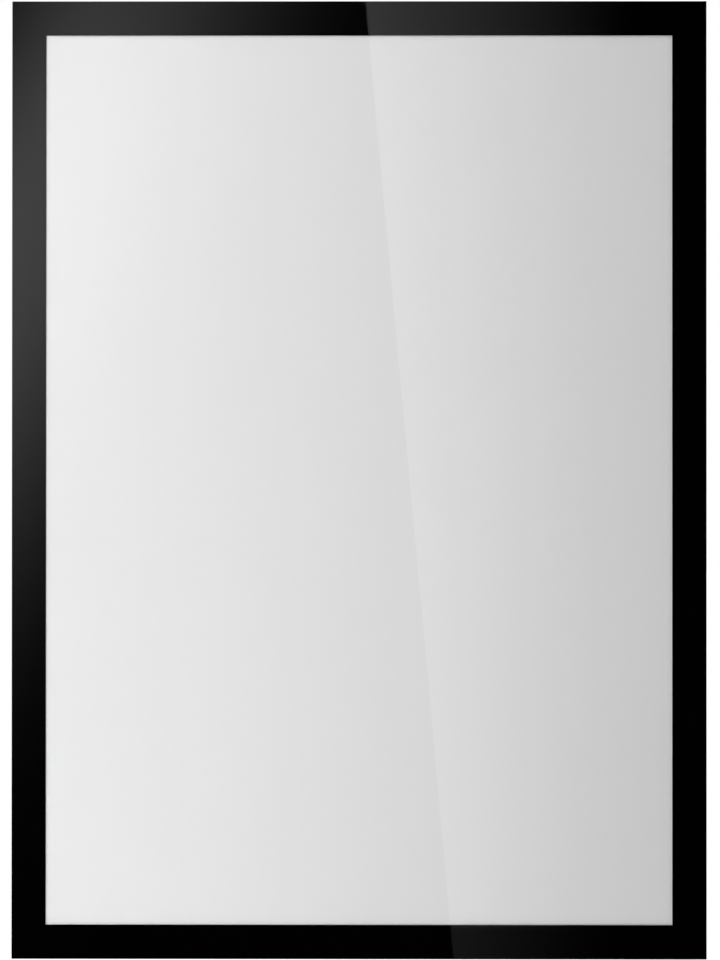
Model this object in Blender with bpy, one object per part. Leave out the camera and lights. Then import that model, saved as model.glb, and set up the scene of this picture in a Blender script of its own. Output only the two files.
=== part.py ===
"""A3 sign frame that sticks to a window: two magnetic leaves hinged on a folded film, with a sheet between them.

Metres. X runs across the frame, Z up it and Y through it. The window glass is the plane y = 0, the reader is at
negative y, and the origin is the middle of the frame on the glass. The cover is shown closed.
"""

import math

import bmesh
import bpy
from mathutils import Vector

# The sheet, and how the border frames it
SHEET_WIDTH = 0.297
SHEET_HEIGHT = 0.420
SHEET_THICKNESS = 0.0002
SHEET_OVERLAP = 0.002  # how far the border reaches over each edge of the sheet
SHEET_FOOT_GAP = 0.0003  # under the sheet, where it stands on the lower magnet strip
BORDER_WIDTH = 0.016

# Thicknesses of the layers, from the glass to the reader
ADHESIVE_THICKNESS = 0.00025
FILM_THICKNESS = 0.0003
BORDER_THICKNESS = 0.0002
BACK_MAGNET_THICKNESS = 0.0008
COVER_MAGNET_THICKNESS = 0.0004
GLUE_LINE = 0.0001  # between one bonded layer and the next
PARTING_GAP = 0.0001  # between the two leaves when the frame is shut
CORNER_RADIUS = 0.0002  # at the die-cut corners of the films
CORNER_SEGMENTS = 4

# Magnet strips
POCKET_CLEARANCE = 0.001  # from each edge of a centred sheet to the strips round it
MAGNET_SETBACK = 0.001  # from the frame's free edges to the strips
MAGNET_EDGE_RADIUS = 0.0001
MAGNET_EDGE_SEGMENTS = 2
MAGNET_END_GAP = 0.0003  # where the upright strips butt against the level ones

# Adhesive strips
ADHESIVE_WIDTH = 0.012
ADHESIVE_SETBACK = 0.002  # from the frame's edges to the strips
ADHESIVE_END_GAP = 0.001
ADHESIVE_CORNER_RADIUS = 0.001

# Hinge film, folded in a U round the left edge
HINGE_THICKNESS = 0.00015
HINGE_REACH = 0.004  # from the frame's left edge to the free edge of each leg
HINGE_MAGNET_GAP = 0.0005  # from that edge to the strip beside it
HINGE_END_SETBACK = 0.002  # at the top and bottom of the frame
HINGE_RELIEF = 0.0001  # how far the films stop short of the fold, so that they pass each other when open
FOLD_SEGMENTS = 12

# What follows from the sizes above
WINDOW_WIDTH = SHEET_WIDTH - 2 * SHEET_OVERLAP
WINDOW_HEIGHT = SHEET_HEIGHT - 2 * SHEET_OVERLAP
FRAME_WIDTH = WINDOW_WIDTH + 2 * BORDER_WIDTH
FRAME_HEIGHT = WINDOW_HEIGHT + 2 * BORDER_WIDTH
FRAME_LEFT = -FRAME_WIDTH / 2
FRAME_RIGHT = FRAME_WIDTH / 2
FRAME_TOP = FRAME_HEIGHT / 2
POCKET_SIDE = SHEET_WIDTH / 2 + POCKET_CLEARANCE
POCKET_TOP = SHEET_HEIGHT / 2 + POCKET_CLEARANCE

# Rear face of each layer, counted from the glass
ADHESIVE_Y = 0.0
BACK_FILM_Y = ADHESIVE_Y - ADHESIVE_THICKNESS - GLUE_LINE
BACK_BORDER_Y = BACK_FILM_Y - FILM_THICKNESS - GLUE_LINE
BACK_MAGNET_Y = BACK_BORDER_Y - BORDER_THICKNESS - GLUE_LINE
COVER_MAGNET_Y = BACK_MAGNET_Y - BACK_MAGNET_THICKNESS - PARTING_GAP
COVER_BORDER_Y = COVER_MAGNET_Y - COVER_MAGNET_THICKNESS - GLUE_LINE
COVER_FILM_Y = COVER_BORDER_Y - BORDER_THICKNESS - GLUE_LINE

# The hinge film folds round the depth that both leaves' strips fill, about an axis up the left edge
FOLD_RADIUS = (BACK_MAGNET_THICKNESS + PARTING_GAP + COVER_MAGNET_THICKNESS) / 2
HINGE_AXIS = Vector((FRAME_LEFT, BACK_MAGNET_Y - FOLD_RADIUS, 0.0))


def clear_scene():
    for thing in list(bpy.data.objects):
        bpy.data.objects.remove(thing, do_unlink=True)


def make_material(name, colour, roughness, alpha=1.0):
    material = bpy.data.materials.new(name)
    material.use_nodes = True
    shader = material.node_tree.nodes["Principled BSDF"]
    shader.inputs["Base Color"].default_value = (*colour, 1.0)
    shader.inputs["Roughness"].default_value = roughness
    shader.inputs["Metallic"].default_value = 0.0
    shader.inputs["Alpha"].default_value = alpha
    material.diffuse_color = (*colour, alpha)
    return material


def plate_mesh(name, width, height, thickness, corner_radius):
    """A flat plate centred on its own origin, with its four corners rounded as a die cuts them."""
    plate = bmesh.new()
    bmesh.ops.create_cube(plate, size=1.0)
    bmesh.ops.scale(plate, vec=(width, thickness, height), verts=plate.verts)
    through = [edge for edge in plate.edges if abs((edge.verts[0].co - edge.verts[1].co).y) > thickness / 2]
    bmesh.ops.bevel(
        plate, geom=through, offset=corner_radius, segments=CORNER_SEGMENTS, profile=0.5, affect="EDGES"
    )
    bmesh.ops.recalc_face_normals(plate, faces=plate.faces)
    mesh = bpy.data.meshes.new(name)
    plate.to_mesh(mesh)
    plate.free()
    return mesh


def add_object(name, mesh, material, centre, pivot=None):
    """Puts a mesh at its place in the frame, hung on the pivot if it moves with the cover."""
    thing = bpy.data.objects.new(name, mesh)
    bpy.context.scene.collection.objects.link(thing)
    if material:
        mesh.materials.append(material)
    thing.location = Vector(centre)
    if pivot:
        thing.parent = pivot
        thing.location -= pivot.location
    return thing


def add_plate(name, left, right, bottom, top, rear, thickness, corner_radius, material, pivot=None):
    """A plate between these edges, whose rear face is at y = rear."""
    mesh = plate_mesh(name, right - left, top - bottom, thickness, corner_radius)
    centre = ((left + right) / 2, rear - thickness / 2, (bottom + top) / 2)
    return add_object(name, mesh, material, centre, pivot)


def add_leaf_film(name, rear, thickness, material, pivot=None):
    """A film over the whole frame, trimmed a little at the fold."""
    left = FRAME_LEFT + HINGE_RELIEF
    return add_plate(
        name, left, FRAME_RIGHT, -FRAME_TOP, FRAME_TOP, rear, thickness, CORNER_RADIUS, material, pivot
    )


def add_window_cutter():
    """The block that both borders' windows are cut with."""
    depth = 2 * abs(COVER_FILM_Y)
    block = plate_mesh("window_cutter", WINDOW_WIDTH, WINDOW_HEIGHT, depth, CORNER_RADIUS)
    cutter = add_object("window_cutter", block, None, (0, 0, 0))
    cutter.hide_render = True
    cutter.display_type = "WIRE"
    return cutter


def add_border(name, rear, material, cutter, pivot=None):
    """A one-piece black film with the window cut out of it."""
    border = add_leaf_film(name, rear, BORDER_THICKNESS, material, pivot)
    window = border.modifiers.new("window", "BOOLEAN")
    window.operation = "DIFFERENCE"
    window.solver = "EXACT"
    window.object = cutter
    return border


def add_magnets(leaf, rear, thickness, material, pivot=None):
    """Four strips round the pocket. All of them stop at the lane that the hinge film lies in."""
    left = FRAME_LEFT + HINGE_REACH + HINGE_MAGNET_GAP
    right = FRAME_RIGHT - MAGNET_SETBACK
    top = FRAME_TOP - MAGNET_SETBACK
    upright_top = POCKET_TOP - MAGNET_END_GAP
    edges = {
        "top": (left, right, POCKET_TOP, top),
        "bottom": (left, right, -top, -POCKET_TOP),
        "left": (left, -POCKET_SIDE, -upright_top, upright_top),
        "right": (POCKET_SIDE, right, -upright_top, upright_top),
    }
    for side, outline in edges.items():
        strip = add_plate(
            f"{leaf}_magnet_{side}", *outline, rear, thickness, MAGNET_EDGE_RADIUS, material, pivot
        )
        soften = strip.modifiers.new("soft_edges", "BEVEL")
        soften.width = MAGNET_EDGE_RADIUS
        soften.segments = MAGNET_EDGE_SEGMENTS
        soften.limit_method = "ANGLE"
        soften.angle_limit = math.radians(60)  # leaves the rounded corners' own facets alone


def add_adhesives(material):
    """Four straight strips on the back, butted at the corners."""
    outer_side = FRAME_RIGHT - ADHESIVE_SETBACK
    outer_top = FRAME_TOP - ADHESIVE_SETBACK
    inner_side = outer_side - ADHESIVE_WIDTH
    inner_top = outer_top - ADHESIVE_WIDTH
    upright_top = inner_top - ADHESIVE_END_GAP
    edges = {
        "top": (-outer_side, outer_side, inner_top, outer_top),
        "bottom": (-outer_side, outer_side, -outer_top, -inner_top),
        "left": (-outer_side, -inner_side, -upright_top, upright_top),
        "right": (inner_side, outer_side, -upright_top, upright_top),
    }
    for side, outline in edges.items():
        add_plate(
            f"adhesive_{side}", *outline, ADHESIVE_Y, ADHESIVE_THICKNESS, ADHESIVE_CORNER_RADIUS, material
        )


def add_sheet(material):
    """The sheet stands on the lower magnet strip, with its face level with the strips round it."""
    foot = -POCKET_TOP + SHEET_FOOT_GAP
    rear = BACK_MAGNET_Y - BACK_MAGNET_THICKNESS + SHEET_THICKNESS
    return add_plate(
        "insert_sheet", -SHEET_WIDTH / 2, SHEET_WIDTH / 2, foot, foot + SHEET_HEIGHT,
        rear, SHEET_THICKNESS, CORNER_RADIUS, material
    )


def fold_profile():
    """The film's outer face seen from above, from the cover's leg round the fold to the back leg, about the axis."""
    points = [Vector((HINGE_REACH, -FOLD_RADIUS))]
    for step in range(FOLD_SEGMENTS + 1):
        angle = math.pi * (1.5 - step / FOLD_SEGMENTS)
        points.append(Vector((
            FOLD_RADIUS * (1 + math.cos(angle)),
            FOLD_RADIUS * math.sin(angle),
        )))
    points.append(Vector((HINGE_REACH, FOLD_RADIUS)))
    return points


def add_hinge_film(material):
    """One film swept up the frame's height along the folded profile, and thickened inwards."""
    half_height = FRAME_TOP - HINGE_END_SETBACK
    film = bmesh.new()
    low = [film.verts.new((point.x, point.y, -half_height)) for point in fold_profile()]
    for start, end in zip(low, low[1:]):
        film.edges.new((start, end))
    swept = bmesh.ops.extrude_edge_only(film, edges=film.edges[:])
    high = [item for item in swept["geom"] if isinstance(item, bmesh.types.BMVert)]
    bmesh.ops.translate(film, vec=(0, 0, 2 * half_height), verts=high)
    mesh = bpy.data.meshes.new("hinge_film")
    film.to_mesh(mesh)
    film.free()
    hinge = add_object("hinge_film", mesh, material, HINGE_AXIS)
    thicken = hinge.modifiers.new("film_thickness", "SOLIDIFY")
    thicken.thickness = HINGE_THICKNESS
    thicken.offset = -1.0
    thicken.use_even_offset = True
    return hinge


def add_pivot():
    """The empty on the hinge's axis that the cover's pieces hang on."""
    pivot = bpy.data.objects.new("cover_pivot", None)
    bpy.context.scene.collection.objects.link(pivot)
    pivot.location = HINGE_AXIS
    return pivot


def build():
    clear_scene()
    clear = make_material("clear_film", (0.86, 0.88, 0.90), 0.06, alpha=0.2)
    adhesive = make_material("adhesive", (0.84, 0.86, 0.84), 0.35, alpha=0.5)
    black = make_material("black_film", (0.004, 0.004, 0.0042), 0.30)
    hinge_black = make_material("hinge_film", (0.006, 0.006, 0.0062), 0.45)
    magnet = make_material("magnet_rubber", (0.030, 0.029, 0.028), 0.75)
    paper = make_material("sheet", (0.80, 0.80, 0.81), 0.65)

    pivot = add_pivot()
    cutter = add_window_cutter()
    add_adhesives(adhesive)
    add_leaf_film("back_film", BACK_FILM_Y, FILM_THICKNESS, clear)
    add_border("back_border", BACK_BORDER_Y, black, cutter)
    add_magnets("back", BACK_MAGNET_Y, BACK_MAGNET_THICKNESS, magnet)
    add_sheet(paper)
    add_hinge_film(hinge_black)
    add_magnets("cover", COVER_MAGNET_Y, COVER_MAGNET_THICKNESS, magnet, pivot)
    add_border("cover_border", COVER_BORDER_Y, black, cutter, pivot)
    add_leaf_film("cover_film", COVER_FILM_Y, FILM_THICKNESS, clear, pivot)


build()
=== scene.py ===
"""Dresses the self-adhesive window sign frame and hangs it in a plain studio."""

import bmesh
import bpy
import math
from mathutils import Euler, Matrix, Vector


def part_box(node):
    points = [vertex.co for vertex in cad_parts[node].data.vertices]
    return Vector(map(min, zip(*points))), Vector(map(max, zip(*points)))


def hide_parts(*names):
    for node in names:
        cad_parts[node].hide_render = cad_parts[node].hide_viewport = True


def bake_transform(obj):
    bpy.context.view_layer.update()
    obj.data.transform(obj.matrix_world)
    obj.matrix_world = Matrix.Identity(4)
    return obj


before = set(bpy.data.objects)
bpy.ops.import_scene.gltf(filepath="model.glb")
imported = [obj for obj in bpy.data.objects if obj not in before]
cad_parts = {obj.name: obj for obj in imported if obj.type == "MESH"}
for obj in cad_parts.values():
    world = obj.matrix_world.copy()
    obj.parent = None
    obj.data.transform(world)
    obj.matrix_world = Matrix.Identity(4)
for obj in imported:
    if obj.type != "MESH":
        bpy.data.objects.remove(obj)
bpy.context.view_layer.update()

# Sizes of the frame, in metres, from its upper right corner
BORDER_WIDTH = 0.016
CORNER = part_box("cover_border")[1]
HALF_WIDTH = CORNER.x
HALF_HEIGHT = CORNER.z
WINDOW_HALF_WIDTH = HALF_WIDTH - BORDER_WIDTH
WINDOW_HALF_HEIGHT = HALF_HEIGHT - BORDER_WIDTH

# The folded hinge film
FOLD_THICKNESS = 0.00015
FOLD_STEPS = 32
FOLD_SHARP_DEG = 40
FLAT_PLACE = "flat_place"

# The camera, as the photograph was taken
CAMERA_PLACE = (0.0142, -2.0, -0.0152)
CAMERA_TURN_DEG = (90.434, -0.021, 0.393)
CAMERA_LENS = 160.138
CAMERA_SENSOR = 36.0
CAMERA_NEAR = 0.05

# How much clear film mirrors of what meets it head on
HEAD_ON_GLOSS = 0.05

# The floor, and how much it is lifted towards white near the frame and far off
FLOOR_DROP = 0.6
FLOOR_REACH = 40.0
FLOOR_NEAR = 0.9
FLOOR_FAR = 3.2
FLOOR_LIFT_NEAR = 0.52
FLOOR_LIFT_FAR = 0.85

# The soft band that the gloss face mirrors, with its places and spreads as they lie in the face
BAND_X = -0.168
BAND_Z = 0.1029
BAND_TILT = math.radians(23.7)
BAND_OFFSET = 0.0032
BAND_SPREAD_LEFT = 0.0388
BAND_SPREAD_RIGHT = 0.0636
BAND_SPREAD_ALONG = 0.2022
BAND_BRIGHTNESS = 0.0522
BAND_BACK = 2.8
BAND_CARD = {"left": -0.26, "right": 0.06, "foot": -0.30, "head": 0.32}

# The sheet of light that it mirrors too, which narrows and dims from its head to its foot
SHEEN_HEAD = 0.2245
SHEEN_HEAD_X = 0.0030
SHEEN_SLANT = 0.0922
SHEEN_WIDTH = 0.1263
SHEEN_NARROWER = 0.0515
SHEEN_BRIGHTNESS = 0.0510
SHEEN_DIMMER = 0.0100
SHEEN_ON_FOOT_BORDER = 0.0068
SHEEN_ON_HEAD_BORDER = 0.0330
SHEEN_BORDER = 0.2105
SHEEN_WINDOW_FOOT = 0.2035
SHEEN_WINDOW_HEAD = 0.2040
SHEEN_FALL = 1.4
SHEEN_BACK = 2.9
SHEEN_CARD_RIGHT = 0.16
SHEEN_CARD_FOOT = -0.30
SHEEN_CARD_HEAD = 0.26

# The walls that gloss mirrors from other sides, and the row of lights on them, 1 m apart
WALL_BACK = 3.0
WALL_REACH = 8.0
WALL_BLACK = 1.6
WALL_PALE = 6.0
WALL_BRIGHTNESS = 0.2
ROW_START = 0.9
ROW_SLANT = 0.15
ROW_LIGHT_WIDTH = 0.7
ROW_HALF_HEIGHT = 4.0
ROW_SOFT_END = 2.5
ROW_BRIGHTNESS = 0.75

# The light that the room sheds on the frame
ROOM_LIGHT = 0.19

# Each light's name, place, aim, width and height, power in watts, and colour
LIGHTS = (
    ("left_strip", (-0.28, -0.45, 0.0), (0, 0, 0.0), (0.2, 0.6), 1.62, (1.0, 1.0, 0.99)),
    ("left_head", (-0.28, -0.45, 0.45), (0, 0, 0.45), (0.2, 0.3), 1.09, (1.0, 1.0, 0.99)),
    ("left_foot", (-0.26, -0.40, -0.40), (0, 0, -0.3), (0.2, 0.3), 0.89, (1.0, 1.0, 0.99)),
    ("above", (0.1, -1.2, 1.3), (0, 0, 0.1), (1.4, 1.0), 5.9, (0.98, 0.98, 1.0)),
    ("behind", (0.3, 1.5, 0.9), (0, 0, 0), (1.4, 1.0), 22, (1.0, 1.0, 1.0)),
)

WHITE = (1, 1, 1, 1)


class Shade:
    """A value that a finish works out at each point of a surface."""

    def __init__(self, finish, socket):
        self.finish = finish
        self.socket = socket

    def __add__(self, other):
        return self.finish.maths("ADD", self, other)

    def __radd__(self, other):
        return self.finish.maths("ADD", other, self)

    def __sub__(self, other):
        return self.finish.maths("SUBTRACT", self, other)

    def __rsub__(self, other):
        return self.finish.maths("SUBTRACT", other, self)

    def __mul__(self, other):
        return self.finish.maths("MULTIPLY", self, other)

    def __rmul__(self, other):
        return self.finish.maths("MULTIPLY", other, self)

    def __truediv__(self, other):
        return self.finish.maths("DIVIDE", self, other)

    def __rtruediv__(self, other):
        return self.finish.maths("DIVIDE", other, self)

    def __pow__(self, other):
        return self.finish.maths("POWER", self, other)

    def __rpow__(self, other):
        return self.finish.maths("POWER", other, self)

    def __lt__(self, other):
        return self.finish.maths("LESS_THAN", self, other)

    def __gt__(self, other):
        return self.finish.maths("GREATER_THAN", self, other)

    def __abs__(self):
        return self.finish.maths("ABSOLUTE", self)


class Finish:
    """The nodes of one material or of the world."""

    def __init__(self, owner):
        owner.use_nodes = True
        self.owner = owner
        self.tree = owner.node_tree
        self.tree.nodes.clear()

    def node(self, kind, settings=None, sockets=None, out=0):
        """Adds a node of a kind: its settings first, then the values or links of its sockets."""
        made = self.tree.nodes.new(kind)
        for name, value in (settings or {}).items():
            setattr(made, name, value)
        for name, value in (sockets or {}).items():
            if isinstance(value, Shade):
                self.tree.links.new(value.socket, made.inputs[name])
            else:
                made.inputs[name].default_value = value
        return Shade(self, made.outputs[out]) if made.outputs else made

    def maths(self, operation, *values):
        return self.node("ShaderNodeMath", {"operation": operation}, dict(enumerate(values)))

    def least(self, first, second):
        return self.maths("MINIMUM", first, second)

    def most(self, first, second):
        return self.maths("MAXIMUM", first, second)

    def place(self):
        """Where a point is on the frame, in metres, wherever its piece has swung to."""
        return self.node("ShaderNodeTexCoord", out="Object")

    def side(self):
        """Which way a face looks on the frame, wherever its piece has swung to."""
        return self.node("ShaderNodeTexCoord", out="Normal")

    def facing(self):
        """0 where a surface is seen head on and 1 where it is seen edge on."""
        return self.node("ShaderNodeLayerWeight", None, {"Blend": 0.5}, out="Facing")

    def part(self, vector, axis):
        return self.node("ShaderNodeSeparateXYZ", None, {"Vector": vector}, out=axis)

    def stretch(self, vector, amounts):
        settings = {"operation": "MULTIPLY"}
        return self.node("ShaderNodeVectorMath", settings, {0: vector, 1: amounts})

    def noise(self, vector, scale, detail, roughness=0.5):
        sockets = {"Vector": vector, "Scale": scale, "Detail": detail, "Roughness": roughness}
        return self.node("ShaderNodeTexNoise", None, sockets)

    def cells(self, vector, scale):
        """Distance to the nearest of many scattered points."""
        sockets = {"Vector": vector, "Scale": scale}
        return self.node("ShaderNodeTexVoronoi", None, sockets, out="Distance")

    def fade(self, value, low, high):
        """0 where value is below low, 1 above high and smooth between them."""
        sockets = {"Value": value, "From Min": low, "From Max": high}
        return self.node("ShaderNodeMapRange", {"interpolation_type": "SMOOTHSTEP"}, sockets)

    def tint(self, share, first, second):
        settings = {"data_type": "RGBA"}
        return self.node("ShaderNodeMix", settings, {0: share, 6: first, 7: second}, out=2)

    def bump(self, height, depth, strength=1.0):
        sockets = {"Height": height, "Distance": depth, "Strength": strength}
        return self.node("ShaderNodeBump", None, sockets)

    def blend(self, share, first, second):
        return self.node("ShaderNodeMixShader", None, {0: share, 1: first, 2: second})

    def together(self, first, second):
        return self.node("ShaderNodeAddShader", None, {0: first, 1: second})

    def skin(self, sockets):
        return self.node("ShaderNodeBsdfPrincipled", None, sockets)

    def clear(self, colour):
        return self.node("ShaderNodeBsdfTransparent", None, {"Color": colour})

    def light(self, brightness):
        sockets = {"Color": WHITE, "Strength": brightness}
        return self.node("ShaderNodeEmission", None, sockets)

    def room(self, colour, brightness):
        sockets = {"Color": colour, "Strength": brightness}
        return self.node("ShaderNodeBackground", None, sockets)

    def inset(self, x, z, half_width, half_height):
        """How far in from the edge of an upright rectangle a point is."""
        return self.least(half_width - abs(x), half_height - abs(z))

    def done(self, surface):
        """Joins the surface to the output, and gives back the material or the world."""
        output = f"ShaderNodeOutput{self.owner.id_type.title()}"
        self.node(output, None, {"Surface": surface})
        return self.owner


def new_finish(name):
    return Finish(bpy.data.materials.new(name))


def grey(level):
    return (level, level, level, 1)


# Finishes of the frame, with sizes and depths of relief in metres

def clear_face(name):
    """Clear film with a gloss face, faint handling marks and frosted die-cut edges."""
    finish = new_finish(name)
    at = finish.place()
    across = finish.part(finish.side(), "Y")
    marks = finish.fade(finish.noise(at, scale=14, detail=2, roughness=0.6), 0.50, 0.68)
    ripple = finish.noise(at, scale=9, detail=0)
    grain = finish.noise(finish.stretch(at, (1, 1, 0.02)), scale=5200, detail=2)
    outside = 1 - finish.node("ShaderNodeNewGeometry", out="Backfacing")
    gloss = outside * (HEAD_ON_GLOSS + (1 - HEAD_ON_GLOSS) * finish.facing() ** 5)
    mirror = finish.node(
        "ShaderNodeBsdfGlossy",
        None,
        {
            "Color": WHITE,
            "Roughness": 0.010 + 0.012 * marks,
            "Normal": finish.bump(ripple, depth=0.000006),
        },
    )
    face = finish.blend(gloss, finish.clear(grey(0.995)), mirror)
    dark_frost = (0.62, 0.68, 0.69, 1)
    pale_frost = (0.86, 0.90, 0.90, 1)
    frost = finish.skin(
        {
            "Base Color": finish.tint(grain, dark_frost, pale_frost),
            "Roughness": 0.35 + 0.25 * grain,
            "IOR": 1.5,
            "Normal": finish.bump(grain, depth=0.00003),
        }
    )
    edge = finish.blend(0.7 + 0.2 * grain, finish.clear((0.9, 0.94, 0.94, 1)), frost)
    return finish.done(finish.blend(abs(across) < 0.5, face, edge))


def black_film(name, bonded):
    """Black film with a fine embossed grain, rubbed a little paler along its cut edges.

    On its bonded side, -1 towards the reader or 1 towards the glass, a clear film lies on it
    with no air between, so that side has no gloss of its own.
    """
    finish = new_finish(name)
    at = finish.place()
    x = finish.part(at, "X")
    z = finish.part(at, "Z")
    under_film = bonded * finish.part(finish.side(), "Y") > 0.5
    outer = finish.inset(x, z, HALF_WIDTH, HALF_HEIGHT)
    inner = 0 - finish.inset(x, z, WINDOW_HALF_WIDTH, WINDOW_HALF_HEIGHT)
    rim = 1 - finish.fade(finish.least(outer, inner), 0.00005, 0.0004)
    patches = finish.fade(finish.noise(at, scale=160, detail=4, roughness=0.65), 0.46, 0.66)
    emboss = finish.cells(at, scale=2600)
    haze = finish.noise(at, scale=22, detail=3)
    rubbed = rim * patches
    deep = finish.tint(haze, grey(0.0003), grey(0.0007))
    black = finish.tint(haze, (0.0030, 0.0030, 0.0031, 1), (0.0050, 0.0050, 0.0052, 1))
    worn = (0.022, 0.022, 0.0225, 1)
    sealed = finish.skin(
        {
            "Base Color": finish.tint(rubbed, deep, grey(0.006)),
            "Roughness": 0.9 - 0.1 * haze,
            "Specular IOR Level": 0.0,
        }
    )
    bare = finish.skin(
        {
            "Base Color": finish.tint(rubbed, black, worn),
            "Roughness": 0.40 + 0.10 * emboss + 0.12 * rubbed,
            "Specular IOR Level": 0.4,
            "Normal": finish.bump(emboss, depth=0.000012, strength=0.6),
        }
    )
    return finish.done(finish.blend(under_film, bare, sealed))


def magnet_rubber(name, along):
    """Flexible magnet strip: dark, dry and dusty, with extrusion lines along its length."""
    finish = new_finish(name)
    at = finish.place()
    lines = finish.noise(finish.stretch(at, along), scale=2600, detail=3, roughness=0.6)
    mottle = finish.noise(at, scale=340, detail=5, roughness=0.7)
    grit = 1 - finish.fade(finish.cells(at, scale=1900), 0.08, 0.24)
    streaks = finish.noise(finish.stretch(at, along), scale=190, detail=4, roughness=0.6)
    scuff = finish.fade(streaks, 0.55, 0.72)
    body = finish.tint(lines, (0.016, 0.0155, 0.015, 1), (0.034, 0.032, 0.030, 1))
    dust = (0.060, 0.057, 0.053, 1)
    pale_grit = (0.11, 0.105, 0.10, 1)
    dusted = finish.tint(0.5 * scuff + 0.2 * mottle, body, dust)
    surface = finish.skin(
        {
            "Base Color": finish.tint(grit * mottle, dusted, pale_grit),
            "Roughness": 0.62 + 0.2 * mottle,
            "Specular IOR Level": 0.35,
            "Normal": finish.bump(lines + 0.5 * mottle, depth=0.00003, strength=0.7),
        }
    )
    return finish.done(surface)


def blank_sheet(name):
    """Blank pale card: matt, evenly coloured, with short fibres under its surface."""
    finish = new_finish(name)
    at = finish.place()
    fibres = finish.noise(finish.stretch(at, (1, 1, 0.35)), scale=2300, detail=5, roughness=0.65)
    clouds = finish.noise(at, scale=55, detail=3)
    pale = finish.tint(fibres, (0.746, 0.746, 0.748, 1), (0.760, 0.760, 0.762, 1))
    clouded = (0.755, 0.755, 0.756, 1)
    surface = finish.skin(
        {
            "Base Color": finish.tint(0.5 * clouds, pale, clouded),
            "Roughness": 0.80 + 0.12 * fibres,
            "Specular IOR Level": 0.15,
            "Normal": finish.bump(fibres, depth=0.000010, strength=0.5),
        }
    )
    return finish.done(surface)


def folded_film(name):
    """Black hinge film: matt, with fine cross grain and a paler line of stress where it folds."""
    finish = new_finish(name)
    at = finish.node("ShaderNodeAttribute", {"attribute_name": FLAT_PLACE}, out="Vector")
    across = finish.part(at, "X")
    grain = finish.noise(finish.stretch(at, (1, 1, 6)), scale=1500, detail=3, roughness=0.6)
    cracks = finish.noise(finish.stretch(at, (1, 1, 0.25)), scale=5200, detail=3)
    crazing = finish.fade(cracks, 0.46, 0.62)
    fold = 1 - finish.fade(abs(across), 0.0002, 0.0012)
    stressed = fold * crazing
    black = finish.tint(grain, (0.0035, 0.0035, 0.0037, 1), (0.008, 0.008, 0.0083, 1))
    stretched = (0.060, 0.060, 0.062, 1)
    surface = finish.skin(
        {
            "Base Color": finish.tint(0.6 * stressed, black, stretched),
            "Roughness": 0.45 + 0.15 * grain + 0.1 * stressed,
            "Specular IOR Level": 0.3,
            "Normal": finish.bump(grain, depth=0.000015, strength=0.6),
        }
    )
    return finish.done(surface)


def adhesive_strip(name):
    """Clear removable adhesive: a soft gel film with a slight haze, bubbles and tacky edges."""
    finish = new_finish(name)
    at = finish.place()
    across = finish.part(finish.side(), "Y")
    cloud = finish.noise(at, scale=60, detail=4, roughness=0.6)
    near = finish.cells(at, scale=210)
    bubble = finish.fade(near, 0.07, 0.10) * (1 - finish.fade(near, 0.10, 0.15))
    seldom = finish.fade(finish.noise(at, scale=45, detail=2), 0.54, 0.60)
    rings = bubble * seldom
    cut = abs(across) < 0.5
    solid = 0.02 + 0.03 * cloud + 0.25 * rings + 0.35 * cut + 0.3 * finish.facing() ** 4
    dull_gel = (0.72, 0.75, 0.73, 1)
    pale_gel = (0.86, 0.88, 0.86, 1)
    gel = finish.skin(
        {
            "Base Color": finish.tint(cloud, dull_gel, pale_gel),
            "Roughness": 0.16 + 0.18 * cloud,
            "IOR": 1.47,
            "Normal": finish.bump(cloud + 0.6 * rings, depth=0.00008, strength=0.5),
        }
    )
    return finish.done(finish.blend(solid, finish.clear((0.94, 0.955, 0.945, 1)), gel))


# Every solid of the frame keeps its shape and takes its finish

face = clear_face("clear_film")
upright_magnet = magnet_rubber("magnet_rubber_upright", (1, 1, 0.03))
level_magnet = magnet_rubber("magnet_rubber_level", (0.03, 1, 1))
gel = adhesive_strip("clear_adhesive")

finishes = {
    "cover_film": (face, "clear_film"),
    "back_film": (face, "clear_film"),
    "cover_border": (black_film("cover_black_film", -1), "black_film"),
    "back_border": (black_film("back_black_film", 1), "black_film"),
    "insert_sheet": (blank_sheet("blank_sheet"), "sheet"),
}
for leaf in ("cover", "back"):
    for edge in ("left", "right"):
        finishes[f"{leaf}_magnet_{edge}"] = (upright_magnet, "magnet_rubber")
    for edge in ("top", "bottom"):
        finishes[f"{leaf}_magnet_{edge}"] = (level_magnet, "magnet_rubber")
for edge in ("top", "bottom", "left", "right"):
    finishes[f"adhesive_{edge}"] = (gel, "adhesive")

for name, (finish, slot) in finishes.items():
    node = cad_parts[name]
    node.data.materials.clear()
    node.data.materials.append(finish)


# The hinge: one film folded round the left edge

def fold_line(depth, low, high):
    """The line of the folded film seen from above, a depth in from its outer face."""
    radius = (high.y - low.y) / 2
    middle = Vector((low.x + radius, (low.y + high.y) / 2))
    points = [Vector((high.x, high.y - depth))]
    for step in range(FOLD_STEPS + 1):
        angle = math.pi * step / FOLD_STEPS
        across = Vector((-math.sin(angle), math.cos(angle)))
        points.append(middle + across * (radius - depth))
    points.append(Vector((high.x, low.y + depth)))
    return points


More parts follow.
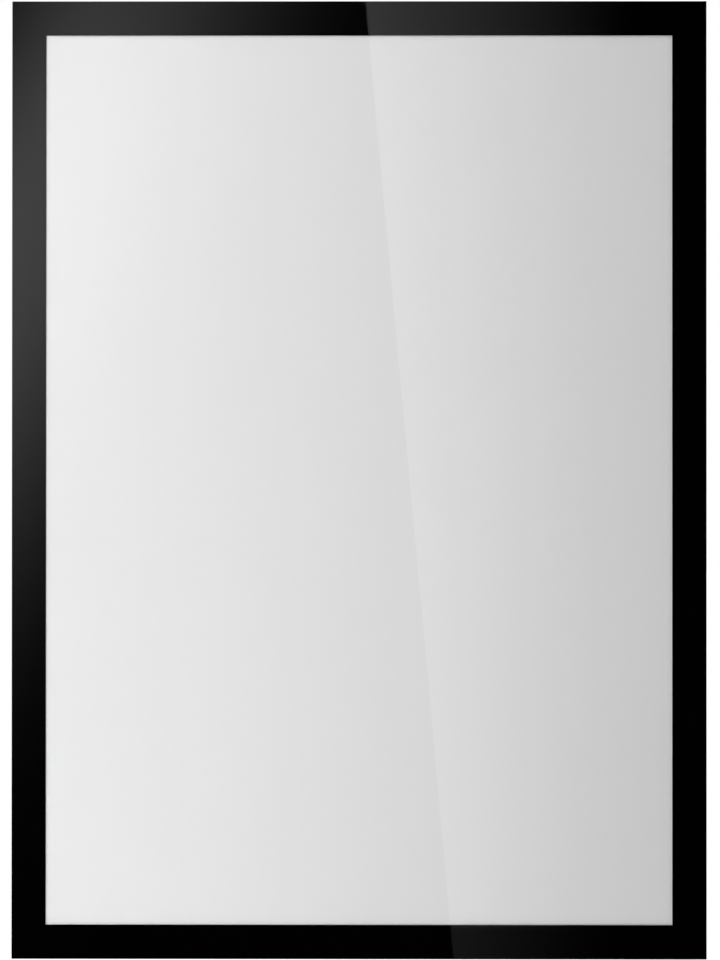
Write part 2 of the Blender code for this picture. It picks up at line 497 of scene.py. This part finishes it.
def make_fold(low, high):
    """The folded film. Each of its points keeps its place on the film when it lay flat."""
    outer_line = fold_line(0, low, high)
    runs = [0.0]
    for start, end in zip(outer_line, outer_line[1:]):
        runs.append(runs[-1] + (end - start).length)
    mesh = bmesh.new()
    flat = mesh.verts.layers.float_vector.new(FLAT_PLACE)
    rows = []
    for depth in (0, FOLD_THICKNESS):
        for height in (low.z, high.z):
            row = []
            for point, run in zip(fold_line(depth, low, high), runs):
                vertex = mesh.verts.new((point.x, point.y, height))
                vertex[flat] = (run - runs[-1] / 2, depth, height)
                row.append(vertex)
            rows.append(row)
    outer_low, outer_high, inner_low, inner_high = rows
    for i in range(len(outer_low) - 1):
        j = i + 1
        mesh.faces.new((outer_low[i], outer_low[j], outer_high[j], outer_high[i]))
        mesh.faces.new((inner_low[i], inner_high[i], inner_high[j], inner_low[j]))
        mesh.faces.new((outer_low[i], inner_low[i], inner_low[j], outer_low[j]))
        mesh.faces.new((outer_high[i], outer_high[j], inner_high[j], inner_high[i]))
    for i in (0, -1):
        mesh.faces.new((outer_low[i], outer_high[i], inner_high[i], inner_low[i]))
    bmesh.ops.recalc_face_normals(mesh, faces=mesh.faces)
    data = bpy.data.meshes.new("folded_hinge_film")
    mesh.to_mesh(data)
    mesh.free()
    for polygon in data.polygons:
        polygon.use_smooth = True
    data.set_sharp_from_angle(angle=math.radians(FOLD_SHARP_DEG))
    piece = bpy.data.objects.new("folded_hinge_film", data)
    bpy.context.scene.collection.objects.link(piece)
    return piece


fold_low, fold_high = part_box("hinge_film")
hinge = make_fold(fold_low, fold_high)
hinge.data.materials.append(folded_film("hinge_film"))
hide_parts("hinge_film")
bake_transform(hinge)


# The camera

camera_data = bpy.data.cameras.new("camera")
camera_data.sensor_width = CAMERA_SENSOR
camera_data.lens = CAMERA_LENS
camera_data.clip_start = CAMERA_NEAR
camera = bpy.data.objects.new("camera", camera_data)
camera.location = CAMERA_PLACE
camera.rotation_euler = Euler([math.radians(turn) for turn in CAMERA_TURN_DEG])
bpy.context.scene.collection.objects.link(camera)
bpy.context.scene.camera = camera


# The studio

def seen(finish):
    """1 for what the camera sees, straight or in gloss or glass, and 0 for light on the frame."""
    straight, in_gloss, in_glass = (
        finish.node("ShaderNodeLightPath", out=f"Is {ray} Ray")
        for ray in ("Camera", "Glossy", "Transmission")
    )
    return finish.most(finish.most(straight, in_gloss), in_glass)


def upright(left, right, foot, head, back=0.0):
    """The corners of an upright rectangle."""
    return [(left, back, foot), (right, back, foot), (right, back, head), (left, back, head)]


def level(reach, height):
    """The corners of a level square."""
    turns = ((-1, -1), (1, -1), (1, 1), (-1, 1))
    return [(x * reach, y * reach, height) for x, y in turns]


def make_plane(name, corners, material):
    data = bpy.data.meshes.new(name)
    data.from_pydata(corners, [], [list(range(len(corners)))])
    data.materials.append(material)
    plane = bpy.data.objects.new(name, data)
    bpy.context.scene.collection.objects.link(plane)
    return plane


def only_in_gloss(plane):
    for ray in ("camera", "diffuse", "transmission", "volume_scatter", "shadow"):
        setattr(plane, f"visible_{ray}", False)


def pale_floor():
    """Matt and pale near the frame, and brighter far off, where it is the background."""
    finish = new_finish("pale_floor")
    at = finish.place()
    cloud = finish.noise(at, scale=3, detail=2)
    matt = finish.skin(
        {
            "Base Color": finish.tint(cloud, (0.80, 0.80, 0.81, 1), (0.83, 0.83, 0.84, 1)),
            "Roughness": 0.8 + 0.1 * cloud,
            "Specular IOR Level": 0.1,
        }
    )
    x = finish.part(at, "X")
    y = finish.part(at, "Y")
    far = finish.fade((x * x + y * y) ** 0.5, FLOOR_NEAR, FLOOR_FAR)
    lift = FLOOR_LIFT_NEAR + (FLOOR_LIFT_FAR - FLOOR_LIFT_NEAR) * far
    return finish.done(finish.together(matt, finish.light(lift * seen(finish))))


def white_room():
    """White to look at, and dimmer for the light that it sheds on the frame."""
    finish = Finish(bpy.context.scene.world or bpy.data.worlds.new("studio"))
    soft = finish.room((0.95, 0.95, 1.0, 1), ROOM_LIGHT)
    white = finish.room(WHITE, 1.0)
    return finish.done(finish.blend(seen(finish), soft, white))


floor = make_plane("floor", level(FLOOR_REACH, -FLOOR_DROP), pale_floor())
floor.visible_glossy = False
floor.data.materials[0].cycles.emission_sampling = "NONE"

bpy.context.scene.world = white_room()


# Soft cards that the gloss face mirrors, each drawn at the size it has in the face

def throw_out(card, back):
    """Enlarges a card about the camera's mirror image, out to where it stands."""
    mirrored = Vector((CAMERA_PLACE[0], -CAMERA_PLACE[1], CAMERA_PLACE[2]))
    reach = (mirrored.y + back) / mirrored.y
    card.scale = (reach, reach, reach)
    card.location = mirrored * (1 - reach)
    only_in_gloss(card)


def glow(finish, mirrored_brightness):
    """Light on a card that otherwise hides nothing, as bright as it is to look in the face."""
    lit = finish.light(mirrored_brightness / HEAD_ON_GLOSS)
    return finish.done(finish.together(finish.clear(WHITE), lit))


def bell(distance, spread):
    """A soft bell over a distance, with its spread either side of the middle."""
    share = distance / spread
    return math.e ** (0 - share * share)


def band_glow():
    """A soft slanted band over the upper left corner, wider on its right."""
    finish = new_finish("band_card")
    at = finish.place()
    dx = finish.part(at, "X") - BAND_X
    dz = finish.part(at, "Z") - BAND_Z
    over = dx * math.cos(BAND_TILT) - dz * math.sin(BAND_TILT) + BAND_OFFSET
    along = dx * math.sin(BAND_TILT) + dz * math.cos(BAND_TILT)
    spread = BAND_SPREAD_LEFT + (BAND_SPREAD_RIGHT - BAND_SPREAD_LEFT) * (over > 0)
    shape = bell(over, spread) * bell(along, BAND_SPREAD_ALONG)
    return glow(finish, BAND_BRIGHTNESS * shape)


def sheen_edge(height):
    """Where the hard left edge of the sheet of light crosses a height."""
    return SHEEN_HEAD_X + SHEEN_SLANT * (SHEEN_HEAD - height)


def sheen_glow():
    """A sheet of light with a hard left edge, which fades to the right and at its foot."""
    finish = new_finish("sheen_card")
    at = finish.place()
    x = finish.part(at, "X")
    z = finish.part(at, "Z")
    down = finish.most(SHEEN_HEAD - z, 0) / (2 * SHEEN_HEAD)
    inward = x - sheen_edge(z)
    reach = SHEEN_WIDTH - SHEEN_NARROWER * down
    over_foot = finish.fade(z, -SHEEN_BORDER, -SHEEN_WINDOW_FOOT)
    under_head = finish.fade(-1 * z, -SHEEN_BORDER, -SHEEN_WINDOW_HEAD)
    window = over_foot * under_head
    bright = SHEEN_BRIGHTNESS - SHEEN_DIMMER * down
    border = SHEEN_ON_FOOT_BORDER + (SHEEN_ON_HEAD_BORDER - SHEEN_ON_FOOT_BORDER) * (z > 0)
    across = finish.most(1 - inward / reach, 0) ** SHEEN_FALL
    return glow(finish, (border + (bright - border) * window) * across)


band_card = make_plane("band_card", upright(**BAND_CARD), band_glow())
sheen_corners = [
    (sheen_edge(SHEEN_CARD_FOOT), 0, SHEEN_CARD_FOOT),
    (SHEEN_CARD_RIGHT, 0, SHEEN_CARD_FOOT),
    (SHEEN_CARD_RIGHT, 0, SHEEN_CARD_HEAD),
    (sheen_edge(SHEEN_CARD_HEAD), 0, SHEEN_CARD_HEAD),
]
sheen_card = make_plane("sheen_card", sheen_corners, sheen_glow())
throw_out(band_card, BAND_BACK)
throw_out(sheen_card, SHEEN_BACK)


def dim_wall():
    """Black straight ahead and paler far out, with a row of slanted lights to each side.

    Each of them has a hard edge and fades away from it, as the sheet of light does.
    """
    finish = new_finish("dim_wall")
    at = finish.place()
    x = finish.part(at, "X")
    z = finish.part(at, "Z")
    outward = finish.fade((x * x + z * z) ** 0.5, WALL_BLACK, WALL_PALE)
    aside = abs(x + ROW_SLANT * z) - ROW_START
    run = finish.maths("FRACT", aside)
    row = (aside > 0) * finish.most(1 - run / ROW_LIGHT_WIDTH, 0) ** SHEEN_FALL
    ends = finish.fade(ROW_HALF_HEIGHT - abs(z), 0, ROW_SOFT_END)
    return finish.done(finish.light(WALL_BRIGHTNESS * outward + ROW_BRIGHTNESS * row * ends))


wall_finish = dim_wall()
for side, back in (("front", -WALL_BACK), ("rear", WALL_BACK)):
    corners = upright(-WALL_REACH, WALL_REACH, -WALL_REACH, WALL_REACH, back)
    only_in_gloss(make_plane(f"{side}_wall", corners, wall_finish))


def make_light(name, place, aim, size, power, colour):
    data = bpy.data.lights.new(name, "AREA")
    data.shape = "RECTANGLE"
    data.size, data.size_y = size
    data.energy = power
    data.color = colour
    light = bpy.data.objects.new(name, data)
    light.location = place
    light.rotation_mode = "QUATERNION"
    light.rotation_quaternion = (Vector(aim) - Vector(place)).to_track_quat("-Z", "Y")
    light.visible_camera = False
    light.visible_glossy = False
    bpy.context.scene.collection.objects.link(light)


for light in LIGHTS:
    make_light(*light)

bpy.context.scene.view_settings.view_transform = "Standard"
